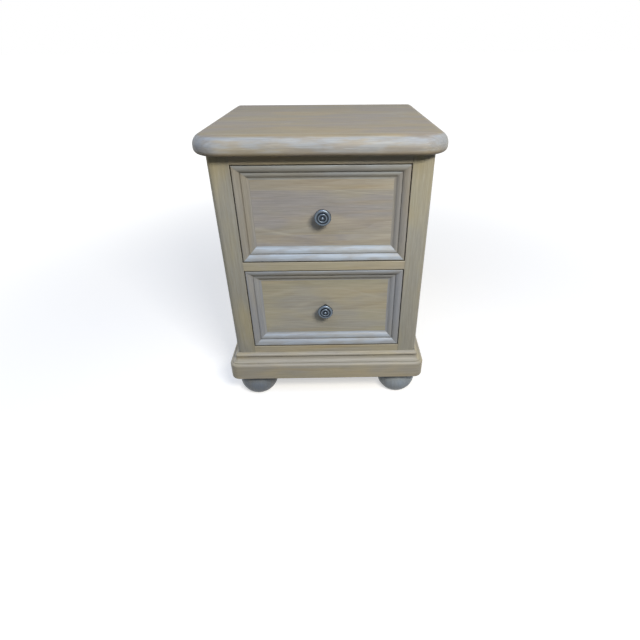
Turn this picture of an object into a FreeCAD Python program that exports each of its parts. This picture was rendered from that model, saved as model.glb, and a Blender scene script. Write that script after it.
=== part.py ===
import FreeCAD, Part
import math
import os

from FreeCAD import Vector

# Bedside chest of two drawers on bun feet, in millimetres.
# The origin is on the floor under the middle of the top board; +Z is up, the drawers face -Y.

# Front: posts, rails and the two drawer openings
opening_width = 352.0
opening_height = 208.0
post_width = 44.0
post_round = 12.0
top_rail_height = 20.0
middle_rail_height = 20.0
bottom_rail_reveal = 18.0
bottom_rail_thickness = 22.0
frame_arris = 1.0

# Depth of the body and of its posts
body_depth = 405.0
front_post_depth = 40.0
rear_post_depth = 40.0

# Framed sides
side_rail_thickness = 24.0
side_top_rail_height = 45.0
side_bottom_rail_reveal = 34.0
side_panel_thickness = 8.0
side_panel_setback = 9.0
side_panel_tongue = 8.0
side_panel_float = 1.0

# Tenons: the shoulder is left on every face of a rail, the wall between two tenons in one post
tenon_shoulder = 5.0
tenon_wall = 4.0
side_tenon_length = 15.0

# Back and base board
back_rail_height = 50.0
back_rail_thickness = 22.0
back_panel_thickness = 6.0
back_rebate = 10.0
base_thickness = 22.0

# Top board: large round over a short flat over a small round, all along the front and sides
top_overhang_front = 32.0
top_overhang_side = 24.0
top_overhang_back = 10.0
top_corner_radius = 58.0
nose_upper_radius = 22.0
nose_flat = 4.0
nose_lower_radius = 10.0

# Plinth section from the bottom up: flat face, shoulder, ledge, cove, fillet, bead, cap
plinth_edge_round = 4.0
plinth_flat_height = 40.0
plinth_shoulder = 5.5
plinth_ledge = 1.5
plinth_cove = 9.0
plinth_fillet = 3.0
plinth_bead_radius = 4.0
plinth_cap = 3.0
plinth_cap_width = 2.0
plinth_cove_wall = 5.0
plinth_mitre = 45.0

# Bun feet
foot_height = 70.0
foot_radius = 49.0
foot_belly_height = 36.0
foot_base_radius = 31.0
foot_neck_radius = 33.0
foot_neck_height = 8.0
foot_inset = 10.0
foot_screw_radius = 4.0
foot_screw_bite = 32.0
foot_screw_tip = 5.0

# Drawer fronts
drawer_inset = 1.0
drawer_side_gap = 1.5
drawer_top_gap = 2.0
drawer_bottom_gap = 2.0
front_board_thickness = 18.0

# Drawer moulding section from the outer edge inwards: rounded edge, wide swell, quirk, small swell, lip
moulding_thickness = 14.5
moulding_edge_round = 1.6
wide_swell_width = 12.6
wide_swell_fall = 6.2
wide_swell_sag = 1.6
quirk_width = 1.4
quirk_depth = 2.2
quirk_step = 1.4
small_swell_width = 10.2
small_swell_fall = 5.2
small_swell_sag = 1.35
lip_step = 0.7
lip_width = 1.5

# Drawer boxes
drawer_side_thickness = 12.0
drawer_back_thickness = 12.0
drawer_back_drop = 6.0
drawer_bottom_thickness = 6.0
drawer_bottom_offset = 10.0
drawer_bottom_tongue = 6.0
drawer_rear_clearance = 7.0
running_clearance = 0.3

# Dovetails
dovetail_lap = 6.0
dovetail_pitch = 40.0
dovetail_root = 20.0
dovetail_slope = 1.0 / 6.0

# Runners, guides, kickers and stops
runner_thickness = 27.0
runner_reach = 27.0
guide_height = 20.0
guide_clearance = 1.0
kicker_clearance = 2.0
stop_width = 10.0
stop_length = 20.0
stop_height = 7.0
stop_clearance = 0.3

# Turned knob: radii, and heights above the drawer panel
knob_radius = 17.5
knob_stem_radius = 6.0
knob_stem_height = 14.0
knob_stem_flare = 5.0
knob_rim_round = 3.6
knob_rim_height = 23.0
knob_groove_radius = 12.6
knob_groove_height = 25.1
knob_ring_radius = 8.1
knob_ring_round = 1.8
knob_ring_height = 26.9
knob_well_height = 26.3
knob_button_radius = 3.6
knob_button_height = 28.1
knob_button_rise = 2.4
knob_screw_radius = 2.0
knob_screw_head_radius = 4.5
knob_screw_head_height = 3.0
knob_screw_bite = 12.0

# Wood screws
screw_slack = 0.1
top_screw_radius = 2.0
top_screw_head_radius = 4.0
top_screw_bite = 16.0
top_screw_inset = 60.0
back_screw_radius = 1.75
back_screw_head_radius = 3.5
back_screw_length = 20.0
back_screw_inset = 30.0

# Levels, from the floor up
base_top = foot_height + base_thickness
plinth_height = (plinth_flat_height + plinth_shoulder + plinth_ledge + plinth_cove + plinth_fillet
                 + 2 * plinth_bead_radius + plinth_cap)
plinth_top = foot_height + plinth_height
lower_floor = plinth_top + bottom_rail_reveal
drawer_pitch = opening_height + middle_rail_height
upper_floor = lower_floor + drawer_pitch
top_rail_bottom = upper_floor + opening_height
top_bottom = top_rail_bottom + top_rail_height
top_thickness = nose_upper_radius + nose_flat + nose_lower_radius
overall_height = top_bottom + top_thickness

# Places across the width
post_inner_x = opening_width / 2
half_body = post_inner_x + post_width
side_rail_inner_x = half_body - side_rail_thickness
half_top = half_body + top_overhang_side
plinth_projection = plinth_cove_wall + plinth_cove + plinth_ledge + plinth_shoulder
front_tenon_length = post_width - side_rail_thickness - tenon_wall
half_drawer = post_inner_x - drawer_side_gap
runner_inner_x = post_inner_x - runner_reach
foot_x = half_body + plinth_projection - foot_inset - foot_radius

# Places from front to back
front_y = top_overhang_front - (top_overhang_front + body_depth + top_overhang_back) / 2
back_y = front_y + body_depth
top_front_y = front_y - top_overhang_front
top_back_y = back_y + top_overhang_back
front_post_back_y = front_y + front_post_depth
rear_post_front_y = back_y - rear_post_depth
back_panel_front_y = back_y - back_panel_thickness
back_rail_front_y = back_panel_front_y - back_rail_thickness
front_foot_y = front_y - plinth_projection + foot_inset + foot_radius
rear_foot_y = back_y - foot_inset - foot_radius
drawer_panel_y = front_y + drawer_inset + moulding_thickness
front_board_back_y = drawer_panel_y + front_board_thickness
drawer_end_y = back_rail_front_y - drawer_rear_clearance

# Heights that repeat on both drawers, above the floor of the opening
drawer_side_top = drawer_pitch - runner_thickness - kicker_clearance
kicker_bottom = upper_floor + drawer_pitch - runner_thickness

X = Vector(1, 0, 0)
Y = Vector(0, 1, 0)
Z = Vector(0, 0, 1)


def block(x_range, y_range, z_range):
    """Squared board between two opposite corners."""
    (x0, x1), (y0, y1), (z0, z1) = x_range, y_range, z_range
    return Part.makeBox(x1 - x0, y1 - y0, z1 - z0, Vector(x0, y0, z0))


def span(half):
    """Range that is centred on the middle of the chest."""
    return (-half, half)


def mirrored(shape):
    """Left-hand twin of a right-hand piece."""
    return shape.mirror(Vector(), X)


def arc_middle(centre, start, end):
    """Point halfway along the short arc from start to end."""
    cx, cy = centre
    dx = start[0] + end[0] - 2 * cx
    dy = start[1] + end[1] - 2 * cy
    reach = math.dist(centre, start) / math.hypot(dx, dy)
    return (cx + dx * reach, cy + dy * reach)


def section(place, start, *steps):
    """Closed face; each step is [end] for a line or [middle, end] for an arc, set in space by place."""
    edges = []
    here = start
    for step in [*steps, [start]]:
        points = [place(*point) for point in (here, *step)]
        curve = Part.Arc(*points) if len(step) == 2 else Part.LineSegment(*points)
        edges.append(curve.toShape())
        here = step[-1]
    return Part.Face(Part.Wire(edges))


def turned(centre, axis, start, *steps):
    """Solid of revolution; the section is drawn as radius and height along the axis."""
    radial = X if axis != X else Z
    face = section(lambda r, h: centre + radial * r + axis * h, start, *steps)
    return face.revolve(centre, axis, 360)


def wood_screw(head, axis, length, radius, head_radius, slack=0.0):
    """Countersunk screw with its flat head at the given point; slack widens it into its own hole."""
    shank = radius + slack
    rim = head_radius + slack
    cone = rim - shank
    return turned(head, axis, (0, 0), [(rim, 0)], [(shank, cone)], [(shank, length - shank)],
                  [(0, length + slack)])


def cut_all(shape, tools):
    """Shape with every tool taken out of it."""
    for tool in tools:
        shape = shape.cut(tool)
    return shape


def top_screw_places():
    """Head point and length of each screw that holds the top board down."""
    kicker_x = (runner_inner_x + side_rail_inner_x) / 2
    rail_y = (front_y + front_post_back_y) / 2
    places = []
    for side in (-1, 1):
        rail_x = side * (post_inner_x - top_screw_inset)
        places.append((Vector(rail_x, rail_y, top_rail_bottom), top_rail_height + top_screw_bite))
        for y in (front_post_back_y + top_screw_inset, rear_post_front_y - top_screw_inset):
            head = Vector(side * kicker_x, y, kicker_bottom)
            places.append((head, top_bottom - kicker_bottom + top_screw_bite))
    return places


def top_screws(slack=0.0):
    """Screws up through the top rail and the kickers into the top board."""
    return [wood_screw(head, Z, length, top_screw_radius, top_screw_head_radius, slack)
            for head, length in top_screw_places()]


def back_screws(slack=0.0):
    """Screws through the back panel into the rear posts and the back rails."""
    post_x = post_inner_x + back_rebate / 2
    low = base_top + back_screw_inset
    high = top_bottom - back_screw_inset
    places = [(side * post_x, z) for side in (-1, 1) for z in (low, (low + high) / 2, high)]
    places += [(0, base_top + back_rail_height / 2), (0, top_bottom - back_rail_height / 2)]
    return [wood_screw(Vector(x, back_y, z), -Y, back_screw_length, back_screw_radius,
                       back_screw_head_radius, slack) for x, z in places]


def foot_places():
    """Middle of each foot on the floor, by name."""
    return {f"{row}_{hand}_foot": Vector(side * foot_x, y, 0)
            for row, y in (("front", front_foot_y), ("rear", rear_foot_y))
            for hand, side in (("left", -1), ("right", 1))}


def foot_screw(place, slack=0.0):
    """Headless screw, pointed at both ends, that joins a foot to the base board."""
    radius = foot_screw_radius + slack
    low = foot_height - foot_screw_bite
    high = base_top
    return turned(place, Z, (0, low - slack), [(radius, low + foot_screw_tip)],
                  [(radius, high - foot_screw_tip)], [(0, high)])


def bun_foot(place):
    """Turned foot: flattened ball on a flat base, drawn in to a neck under the base board."""
    def belly_centre(radius, rise):
        return (foot_radius ** 2 - radius ** 2 - rise ** 2) / (2 * (foot_radius - radius))

    neck_bottom = foot_height - foot_neck_height
    belly = (foot_radius, foot_belly_height)
    base = (foot_base_radius, 0)
    neck = (foot_neck_radius, neck_bottom)
    low_centre = (belly_centre(foot_base_radius, foot_belly_height), foot_belly_height)
    high_centre = (belly_centre(foot_neck_radius, neck_bottom - foot_belly_height), foot_belly_height)
    foot = turned(place, Z, (0, 0), [base], [arc_middle(low_centre, base, belly), belly],
                  [arc_middle(high_centre, belly, neck), neck], [(foot_neck_radius, foot_height)],
                  [(0, foot_height)])
    return foot.cut(foot_screw(place, screw_slack))


def base_board():
    """Board under the posts that carries the feet; the plinth covers its edges."""
    board = block(span(half_body), (front_y, back_y), (foot_height, base_top))
    return cut_all(board, [foot_screw(place, screw_slack) for place in foot_places().values()])


def plinth_section(place):
    """Moulded section of the plinth; u is outwards from the body, v is up from its lower edge."""
    face = plinth_projection
    edge = plinth_edge_round
    shoulder = face - plinth_shoulder
    ledge = shoulder - plinth_ledge
    shoulder_top = plinth_flat_height + plinth_shoulder
    cove_bottom = shoulder_top + plinth_ledge
    cove_top = cove_bottom + plinth_cove
    bead_bottom = cove_top + plinth_fillet
    bead_middle = bead_bottom + plinth_bead_radius
    bead_top = bead_middle + plinth_bead_radius
    edge_low = (face - edge, 0)
    edge_high = (face, edge)
    shoulder_low = (face, plinth_flat_height)
    shoulder_high = (shoulder, shoulder_top)
    cove_low = (ledge, cove_bottom)
    cove_high = (plinth_cove_wall, cove_top)
    return section(
        place, (0, 0), [edge_low], [arc_middle((face - edge, edge), edge_low, edge_high), edge_high],
        [shoulder_low],
        [arc_middle((shoulder, plinth_flat_height), shoulder_low, shoulder_high), shoulder_high],
        [(ledge, shoulder_top)], [cove_low],
        [arc_middle((ledge, cove_top), cove_low, cove_high), cove_high],
        [(plinth_cove_wall, bead_bottom)], [(plinth_cap_width, bead_bottom)],
        [(plinth_cap_width + plinth_bead_radius, bead_middle), (plinth_cap_width, bead_top)],
        [(0, plinth_height)])


def front_plinth():
    """Front strip of the plinth; its ends turn the rounded corners as far as the mitres."""
    corner = Vector(half_body, front_y, foot_height)
    right_face = plinth_section(lambda u, v: corner + Vector(0, -u, v))
    straight = right_face.extrude(-X * (2 * half_body))
    right_end = right_face.revolve(corner, Z, plinth_mitre)
    return straight.fuse([right_end, mirrored(right_end)]).removeSplitter()


def side_plinth():
    """Right-hand strip of the plinth; it starts at the mitre and is square at the back."""
    corner = Vector(half_body, front_y, foot_height)
    face = plinth_section(lambda u, v: corner + Vector(u, 0, v))
    return face.extrude(Y * body_depth).fuse(face.revolve(corner, Z, -plinth_mitre)).removeSplitter()


def eased(board, chosen):
    """Board with an arris on those of its front edges whose middle point is chosen."""
    edges = [edge for edge in board.Edges
             if edge.BoundBox.YLength < frame_arris and edge.CenterOfMass.y < front_y + frame_arris
             and chosen(edge.CenterOfMass)]
    return board.makeFillet(frame_arris, edges)


def front_rail(low, high, depth, *arrises):
    """Rail across the front with a stub tenon on each end, its front edge eased at the given heights."""
    body = block(span(post_inner_x), (front_y, front_y + depth), (low, high))
    body = eased(body, lambda middle: any(abs(middle.z - level) < frame_arris for level in arrises))
    tenons = block(span(post_inner_x + front_tenon_length),
                   (front_y + tenon_shoulder, front_y + depth - tenon_shoulder),
                   (low + tenon_shoulder, high - tenon_shoulder))
    return body.fuse(tenons).removeSplitter()


def back_rail(low):
    """Rail across the back, tenoned into the rear posts and covered by the back panel."""
    high = low + back_rail_height
    body = block(span(post_inner_x), (back_rail_front_y, back_panel_front_y), (low, high))
    tenons = block(span(post_inner_x + front_tenon_length),
                   (back_rail_front_y + tenon_shoulder, back_panel_front_y - tenon_shoulder),
                   (low + tenon_shoulder, high - tenon_shoulder))
    return body.fuse(tenons).removeSplitter()


def side_panel(spare=0.0):
    """Flat right-hand side panel; spare deepens it into the groove that holds it."""
    outer_x = half_body - side_panel_setback
    tongue = side_panel_tongue + spare
    low = plinth_top + side_bottom_rail_reveal - tongue
    high = top_bottom - side_top_rail_height + tongue
    return block((outer_x - side_panel_thickness, outer_x),
                 (front_post_back_y - tongue, rear_post_front_y + tongue), (low, high))


def side_rail(low, high):
    """Right-hand side rail, tenoned into both posts and grooved for the panel."""
    x_range = (side_rail_inner_x, half_body)
    body = block(x_range, (front_post_back_y, rear_post_front_y), (low, high))
    shoulder = tenon_shoulder + side_panel_tongue
    tenons = block((side_rail_inner_x + tenon_shoulder, half_body - tenon_shoulder),
                   (front_post_back_y - side_tenon_length, rear_post_front_y + side_tenon_length),
                   (low + shoulder, high - shoulder))
    return body.fuse(tenons).removeSplitter().cut(side_panel(side_panel_float))


def side_rails():
    """Right-hand side rails, bottom and top."""
    bottom = side_rail(base_top, plinth_top + side_bottom_rail_reveal)
    top = side_rail(top_bottom - side_top_rail_height, top_bottom)
    return bottom, top


def front_rails():
    """Bottom, middle and top rail of the front."""
    middle_bottom = upper_floor - middle_rail_height
    bottom = front_rail(base_top, lower_floor, bottom_rail_thickness, lower_floor)
    middle = front_rail(middle_bottom, upper_floor, front_post_depth, middle_bottom, upper_floor)
    top = front_rail(top_rail_bottom, top_bottom, front_post_depth, top_rail_bottom)
    return bottom, middle, cut_all(top, top_screws(screw_slack))


def front_post():
    """Right-hand front post: mortised, grooved, its outer edge rounded above the plinth."""
    post = block((post_inner_x, half_body), (front_y, front_post_back_y), (base_top, top_bottom))
    post = eased(post, lambda middle: abs(middle.x - post_inner_x) < frame_arris)
    corner_x = half_body - post_round
    corner_y = front_y + post_round
    square = block((corner_x, half_body), (front_y, corner_y), (plinth_top, top_bottom))
    round_edge = Part.makeCylinder(post_round, top_bottom - plinth_top,
                                   Vector(corner_x, corner_y, plinth_top))
    return cut_all(post, [square.cut(round_edge), side_panel(side_panel_float), *side_rails(),
                          *front_rails()])


def back_panel():
    """Thin panel set into the backs of the rear posts, over the back rails."""
    panel = block(span(post_inner_x + back_rebate), (back_panel_front_y, back_y), (base_top, top_bottom))
    return cut_all(panel, back_screws(screw_slack))


def back_rails():
    """Bottom and top back rail, bored for the panel screws."""
    holes = back_screws(screw_slack)
    return cut_all(back_rail(base_top), holes), cut_all(back_rail(top_bottom - back_rail_height), holes)


def rear_post():
    """Right-hand rear post: mortised, grooved, rebated for the back panel and bored for its screws."""
    post = block((post_inner_x, half_body), (rear_post_front_y, back_y), (base_top, top_bottom))
    return cut_all(post, [side_panel(side_panel_float), *side_rails(), *back_rails(), back_panel(),
                          *back_screws(screw_slack)])


def top_board():
    """Top board: rounded front corners, bullnosed front and sides, square back edge."""
    radius = top_corner_radius
    front, back = top_front_y, top_back_y
    left_centre = (-half_top + radius, front + radius)
    right_centre = (half_top - radius, front + radius)
    left_side, left_front = (-half_top, front + radius), (-half_top + radius, front)
    right_front, right_side = (half_top - radius, front), (half_top, front + radius)
    plan = section(
        lambda x, y: Vector(x, y, top_bottom), (-half_top, back), [left_side],
        [arc_middle(left_centre, left_side, left_front), left_front], [right_front],
        [arc_middle(right_centre, right_front, right_side), right_side], [(half_top, back)])
    board = plan.extrude(Z * top_thickness)
    for level, radius in ((overall_height, nose_upper_radius), (top_bottom, nose_lower_radius)):
        rim = [edge for edge in board.Edges
               if edge.BoundBox.ZLength < running_clearance
               and abs(edge.CenterOfMass.z - level) < running_clearance
               and edge.CenterOfMass.y < back - running_clearance]
        board = board.makeFillet(radius, rim)
    return cut_all(board, top_screws(screw_slack))


def runner(floor, rail_depth):
    """Right-hand runner under a drawer side, from the front rail to the rear post."""
    z_range = (floor - runner_thickness, floor)
    bearer = block((runner_inner_x, side_rail_inner_x), (front_post_back_y, rear_post_front_y), z_range)
    if rail_depth < front_post_depth:
        nose = block((runner_inner_x, post_inner_x), (front_y + rail_depth, front_post_back_y), z_range)
        bearer = bearer.fuse(nose).removeSplitter()
    return bearer


def guide(floor):
    """Right-hand guide strip on a runner, which keeps the drawer straight."""
    return block((half_drawer + guide_clearance, side_rail_inner_x),
                 (front_post_back_y, rear_post_front_y), (floor, floor + guide_height))


def kicker():
    """Right-hand strip over the upper drawer's side, which stops the open drawer from tipping."""
    strip = block((runner_inner_x, side_rail_inner_x), (front_post_back_y, rear_post_front_y),
                  (kicker_bottom, top_bottom))
    return cut_all(strip, top_screws(screw_slack))


def drawer_stop(floor):
    """Right-hand block behind a drawer front, which the closed drawer meets."""
    front = front_board_back_y + stop_clearance
    return block((runner_inner_x, runner_inner_x + stop_width), (front, front + stop_length),
                 (floor, floor + stop_height))


def dovetails(low, high, root_y, length):
    """Right-hand row of tails; a positive length points to the back, a negative one to the front."""
    count = max(1, round((high - low) / dovetail_pitch))
    pitch = (high - low) / count
    root = dovetail_root / 2
    tip = root + abs(length) * dovetail_slope
    tails = []
    for index in range(count):
        middle = low + (index + 0.5) * pitch
        tail = section(lambda y, z: Vector(half_drawer - drawer_side_thickness, y, z),
                       (root_y, middle - root), [(root_y + length, middle - tip)],
                       [(root_y + length, middle + tip)], [(root_y, middle + root)])
        tails.append(tail.extrude(X * drawer_side_thickness))
    return tails


def both_hands(shapes):
    """Right-hand shapes with their left-hand twins."""
    return [*shapes, *[mirrored(shape) for shape in shapes]]


def swell(start, end, sag):
    """Convex arc from start to end, as [middle, end], standing out by sag over its chord."""
    dx = end[0] - start[0]
    dy = end[1] - start[1]
    length = math.hypot(dx, dy)
    middle = ((start[0] + end[0]) / 2 - dy * sag / length, (start[1] + end[1]) / 2 + dx * sag / length)
    return [middle, end]


def moulding_section(place):
    """Drawer moulding; w is inwards from the outer edge, h is out from the drawer panel."""
    edge = moulding_edge_round
    outer = (0, moulding_thickness - edge)
    wide_start = (edge, moulding_thickness)
    wide_end = (edge + wide_swell_width, moulding_thickness - wide_swell_fall)
    quirk_floor = wide_end[1] - quirk_depth
    small_start = (wide_end[0] + quirk_width, wide_end[1] - quirk_step)
    small_end = (small_start[0] + small_swell_width, small_start[1] - small_swell_fall)
    lip_height = small_end[1] - lip_step
    lip_end = small_end[0] + lip_width
    return section(
        place, (0, 0), [outer], [arc_middle((edge, outer[1]), outer, wide_start), wide_start],
        swell(wide_start, wide_end, wide_swell_sag), [(wide_end[0], quirk_floor)],
        [(small_start[0], quirk_floor)], [small_start],
        swell(small_start, small_end, small_swell_sag), [(small_end[0], lip_height)],
        [(lip_end, lip_height)], [(lip_end, 0)])


def moulding_strips(low, high):
    """Four mitred strips round a drawer front: top, bottom, left and right."""
    width = moulding_edge_round + wide_swell_width + quirk_width + small_swell_width + lip_width
    half = half_drawer
    y = drawer_panel_y

    def mitre(start, *rest):
        plan = section(lambda x, z: Vector(x, y, z), start, *[[point] for point in rest])
        return plan.extrude(-Y * moulding_thickness)

    inner = half - width
    top = moulding_section(lambda w, h: Vector(-half, y - h, high - w)).extrude(X * (2 * half))
    top = top.common(mitre((-half, high), (-inner, high - width), (inner, high - width), (half, high)))
    bottom = moulding_section(lambda w, h: Vector(-half, y - h, low + w)).extrude(X * (2 * half))
    bottom = bottom.common(mitre((-half, low), (-inner, low + width), (inner, low + width), (half, low)))
    right = moulding_section(lambda w, h: Vector(half - w, y - h, low)).extrude(Z * (high - low))
    right = right.common(mitre((half, low), (inner, low + width), (inner, high - width), (half, high)))
    return {"top": top, "bottom": bottom, "left": mirrored(right), "right": right}


def knob_screw(middle_z, slack=0.0):
    """Machine screw from inside the drawer through the front board into the knob."""
    shank = knob_screw_radius + slack
    head = Vector(0, front_board_back_y + knob_screw_head_height, middle_z)
    return turned(head, -Y, (0, 0), [(knob_screw_head_radius, 0)],
                  [(knob_screw_head_radius, knob_screw_head_height)], [(shank, knob_screw_head_height)],
                  [(shank, knob_screw_head_height + front_board_thickness + knob_screw_bite + slack)],
                  [(0, knob_screw_head_height + front_board_thickness + knob_screw_bite + slack)])


def knob(middle_z):
    """Turned metal knob: flared stem, round rim, and a ring and a button that step out of the head."""
    stem_top = (knob_stem_radius, knob_stem_height)
    flare_radius = knob_stem_radius + knob_stem_flare
    flare_end = (flare_radius, knob_stem_height + knob_stem_flare)
    rim_middle = (knob_radius - knob_rim_round, knob_rim_height)
    rim_back = (rim_middle[0], knob_rim_height - knob_rim_round)
    rim_front = math.sqrt(knob_rim_round ** 2 - (rim_middle[0] - knob_groove_radius) ** 2)
    rim_end = (knob_groove_radius, knob_rim_height + rim_front)
    ring_outer = (knob_ring_radius + knob_ring_round, knob_ring_height)
    ring_crest = (knob_ring_radius, knob_ring_height + knob_ring_round)
    ring_inner = (knob_ring_radius - knob_ring_round, knob_ring_height)
    button = (knob_button_radius, knob_button_height)
    button_top = (0, knob_button_height + knob_button_rise)
    dome = (knob_button_radius ** 2 + knob_button_rise ** 2) / (2 * knob_button_rise)
    dome_middle = (0, button_top[1] - dome)
    shape = turned(
        Vector(0, drawer_panel_y, middle_z), -Y, (0, 0), [(knob_stem_radius, 0)], [stem_top],
        [arc_middle((flare_radius, knob_stem_height), stem_top, flare_end), flare_end], [rim_back],
        [(knob_radius, knob_rim_height), rim_end], [(knob_groove_radius, knob_groove_height)],
        [(ring_outer[0], knob_groove_height)], [ring_outer], [ring_crest, ring_inner],
        [(ring_inner[0], knob_well_height)], [(knob_button_radius, knob_well_height)], [button],
        [arc_middle(dome_middle, button, button_top), button_top])
    return shape.cut(knob_screw(middle_z, screw_slack))


def drawer(floor):
    """Pieces of one drawer whose opening starts at the given height."""
    low = floor + drawer_bottom_gap
    high = floor + opening_height - drawer_top_gap
    side_low = floor + running_clearance
    side_high = floor + drawer_side_top
    bottom_low = side_low + drawer_bottom_offset
    bottom_high = bottom_low + drawer_bottom_thickness
    back_high = side_high - drawer_back_drop
    inner_x = half_drawer - drawer_side_thickness
    back_front_y = drawer_end_y - drawer_back_thickness
    middle_z = (low + high) / 2

    bottom = block(span(inner_x + drawer_bottom_tongue),
                   (front_board_back_y - drawer_bottom_tongue, drawer_end_y), (bottom_low, bottom_high))
    front_tails = dovetails(low, side_high, front_board_back_y, dovetail_lap - front_board_thickness)
    rear_tails = dovetails(bottom_high, back_high, back_front_y, drawer_back_thickness)

    front = block(span(half_drawer), (drawer_panel_y, front_board_back_y), (low, high))
    front = cut_all(front, [*both_hands(front_tails), bottom, knob_screw(middle_z, screw_slack)])
    back = block(span(half_drawer), (back_front_y, drawer_end_y), (bottom_high, back_high))
    back = cut_all(back, both_hands(rear_tails))
    side = block((inner_x, half_drawer), (front_board_back_y, drawer_end_y), (side_low, side_high))
    side = cut_all(side.fuse(front_tails).removeSplitter(), [back, bottom])

    pieces = {"drawer_front": front, "drawer_left_side": mirrored(side), "drawer_right_side": side,
              "drawer_back": back, "drawer_bottom": bottom, "knob": knob(middle_z),
              "knob_screw": knob_screw(middle_z)}
    for place, strip in moulding_strips(low, high).items():
        pieces[f"{place}_moulding"] = strip
    return pieces


def carcass():
    """Fixed pieces of the chest, by name."""
    bottom_rail, middle_rail, top_rail = front_rails()
    back_bottom_rail, back_top_rail = back_rails()
    pieces = {"top_board": top_board(), "top_rail": top_rail, "middle_rail": middle_rail,
              "bottom_rail": bottom_rail, "back_top_rail": back_top_rail,
              "back_bottom_rail": back_bottom_rail, "back_panel": back_panel(),
              "base_board": base_board(), "front_plinth": front_plinth()}
    side_bottom, side_top = side_rails()
    right_hand = {"front_post": front_post(), "rear_post": rear_post(), "side_top_rail": side_top,
                  "side_bottom_rail": side_bottom, "side_panel": side_panel(),
                  "plinth": side_plinth(), "upper_runner": runner(upper_floor, front_post_depth),
                  "lower_runner": runner(lower_floor, bottom_rail_thickness), "kicker": kicker()}
    for name, piece in right_hand.items():
        pieces[f"right_{name}"] = piece
        pieces[f"left_{name}"] = mirrored(piece)
    for name, place in foot_places().items():
        pieces[name] = bun_foot(place)
    return pieces


def fixed_groups():
    """Alike fixed pieces that share one node."""
    floors = (lower_floor, upper_floor)
    return {"foot_screws": [foot_screw(place) for place in foot_places().values()],
            "top_screws": top_screws(), "back_screws": back_screws(),
            "drawer_stops": both_hands([drawer_stop(floor) for floor in floors]),
            "lower_guides": both_hands([guide(lower_floor)]),
            "upper_guides": both_hands([guide(upper_floor)])}


nodes = carcass()
for name, solids in fixed_groups().items():
    nodes[name] = Part.makeCompound(solids)
for level, floor in (("upper", upper_floor), ("lower", lower_floor)):
    for name, piece in drawer(floor).items():
        nodes[f"{level}_{name}"] = piece

os.makedirs("parts", exist_ok=True)
for name, shape in nodes.items():
    shape.exportStep(f"parts/{name}.step")
    box = shape.BoundBox
    print(f"{name}: {len(shape.Solids)} solid(s), {shape.Volume / 1000:.1f} cm3, valid {shape.isValid()}, "
          f"{box.XLength:.1f} x {box.YLength:.1f} x {box.ZLength:.1f} mm")
print(f"{len(nodes)} nodes, {2 * half_top:.0f} wide, {top_back_y - top_front_y:.0f} deep, "
      f"{overall_height:.0f} high")
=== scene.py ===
# %% [markdown]
# # A bedside chest in limed oak
# The chest is two drawers in a framed oak case on a moulded plinth and four bun feet. Its pieces already
# have their real shapes, so this lesson is mostly about finishes: how to give each board its own grain,
# how to make a cast knob look old, and how to light wood so that its mouldings read. We load the model,
# keep its box, and leave its meshes as they are.

# %% Load the pieces
import math
import bpy
from mathutils import Matrix, Vector


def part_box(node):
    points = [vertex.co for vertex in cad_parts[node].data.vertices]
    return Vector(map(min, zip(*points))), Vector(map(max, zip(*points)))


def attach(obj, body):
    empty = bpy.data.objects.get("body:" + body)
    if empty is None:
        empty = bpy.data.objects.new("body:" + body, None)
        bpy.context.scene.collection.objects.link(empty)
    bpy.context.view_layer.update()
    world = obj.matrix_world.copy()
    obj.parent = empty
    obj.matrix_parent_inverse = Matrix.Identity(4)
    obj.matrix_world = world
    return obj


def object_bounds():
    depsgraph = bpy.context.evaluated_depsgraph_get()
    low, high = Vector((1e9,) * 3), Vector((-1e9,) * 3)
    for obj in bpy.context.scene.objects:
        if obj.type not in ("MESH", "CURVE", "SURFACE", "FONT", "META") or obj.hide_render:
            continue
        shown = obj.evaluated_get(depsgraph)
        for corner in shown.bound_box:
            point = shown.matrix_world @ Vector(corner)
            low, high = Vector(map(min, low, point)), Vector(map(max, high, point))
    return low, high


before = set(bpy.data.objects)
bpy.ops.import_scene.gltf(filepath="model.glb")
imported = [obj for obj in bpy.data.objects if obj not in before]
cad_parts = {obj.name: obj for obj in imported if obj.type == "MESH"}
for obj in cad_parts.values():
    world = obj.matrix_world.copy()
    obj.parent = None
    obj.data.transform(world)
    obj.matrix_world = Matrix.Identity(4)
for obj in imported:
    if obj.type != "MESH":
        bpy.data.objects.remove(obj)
solid_box = [list(corner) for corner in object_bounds()]
print("pieces:", len(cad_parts), "box in metres:", solid_box)

# %% [markdown]
# ## Three helpers
# Colours are picked on a screen, so they are written as sRGB hex. A shader works with linear
# light, and one function turns the first into the second. A second function adds a node, sets it up and
# links it, so that a material below reads like a recipe, and a third starts an empty material. The Mix
# node has several sockets of the same name, so its sockets go by number, and so do those of Map Range.
# Here the numbers get names.

# %% Colours and nodes
FACTOR, UNDER, OVER, MIXED = 0, 6, 7, 2
VALUE, FROM_LOW, FROM_HIGH, TO_LOW, TO_HIGH = range(5)
COLOURS = {"data_type": "RGBA"}
SMOOTH = {"interpolation_type": "SMOOTHSTEP"}


def linear(hex_colour):
    """The linear RGBA of an sRGB hex colour."""
    shares = [int(hex_colour[i:i + 2], 16) / 255 for i in (1, 3, 5)]
    return [s / 12.92 if s <= 0.04045 else ((s + 0.055) / 1.055) ** 2.4 for s in shares] + [1.0]


def node(tree, kind, inputs=None, **settings):
    """Adds a shader node, with its settings, and its inputs as values or links."""
    made = tree.nodes.new("ShaderNode" + kind)
    for name, value in settings.items():
        setattr(made, name, value)
    for name, value in (inputs or {}).items():
        if isinstance(value, bpy.types.NodeSocket):
            tree.links.new(value, made.inputs[name])
        else:
            made.inputs[name].default_value = value
    return made


def new_material(name):
    """An empty material, its tree and its output node."""
    material = bpy.data.materials.new(name)
    material.use_nodes = True
    material.node_tree.nodes.clear()
    return material, material.node_tree, node(material.node_tree, "OutputMaterial")


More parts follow.
